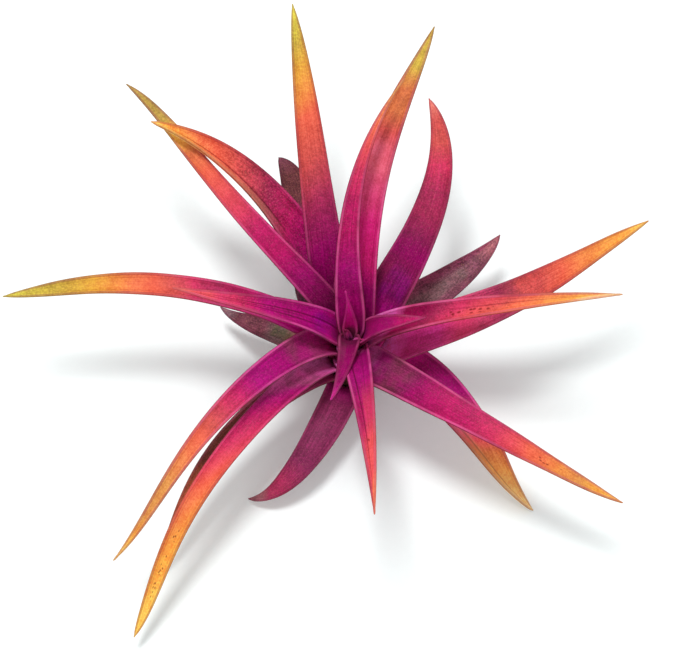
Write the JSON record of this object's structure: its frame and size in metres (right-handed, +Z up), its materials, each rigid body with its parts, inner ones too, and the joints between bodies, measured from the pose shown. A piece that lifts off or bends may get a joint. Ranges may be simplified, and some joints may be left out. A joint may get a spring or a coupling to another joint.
{
  "type": "capitata air plant",
  "caption": "Rosette of long channelled leaves on a short stem, magenta at the heart and running through coral and orange to yellow tips; stands on its base.",
  "frame": {"origin": "centre of the stem's flat foot, on the surface that the plant stands on", "axes": "+Z up out of the rosette, +X to the right and -Y to the front as the picture looks at it from above"},
  "size_m": [0.1962, 0.1813, 0.0925],
  "materials": {
    "stem": "dry, fibrous, matte",
    "old_leaf": "matte, dull mauve-brown with grey scurf",
    "plum_leaf": "satin, finely scurfed",
    "rust_leaf": "satin, finely scurfed",
    "orange_leaf": "satin, magenta base to amber tip",
    "yellow_leaf": "satin, magenta base to yellow tip",
    "coral_leaf": "satin, magenta base to coral tip",
    "magenta_leaf": "satin, finely scurfed"
  },
  "bodies": {
    "root": {"stem": "stem", "leaf_shaded_back": "old_leaf", "leaf_plum_front": "plum_leaf", "leaf_dusky_right": "old_leaf", "leaf_olive_left": "old_leaf", "leaf_rust_front": "rust_leaf", "leaf_dusky_back": "old_leaf", "leaf_brown_front": "rust_leaf", "leaf_coral_right": "orange_leaf", "leaf_amber_back": "orange_leaf", "leaf_plum_back": "plum_leaf", "leaf_amber_front": "orange_leaf", "leaf_yellow_back": "yellow_leaf", "leaf_yellow_left": "yellow_leaf", "leaf_rose_right": "orange_leaf", "leaf_gold_back": "yellow_leaf", "leaf_orange_front": "orange_leaf", "leaf_flame_right": "coral_leaf", "leaf_coral_back": "yellow_leaf", "leaf_flame_front": "coral_leaf", "leaf_magenta_left": "magenta_leaf", "leaf_young_right": "magenta_leaf", "leaf_rose_back": "coral_leaf", "leaf_young_front": "magenta_leaf", "leaf_young_back": "magenta_leaf", "leaf_bud_right": "magenta_leaf", "leaf_bud_heart": "magenta_leaf"}
  },
  "joints": []
}
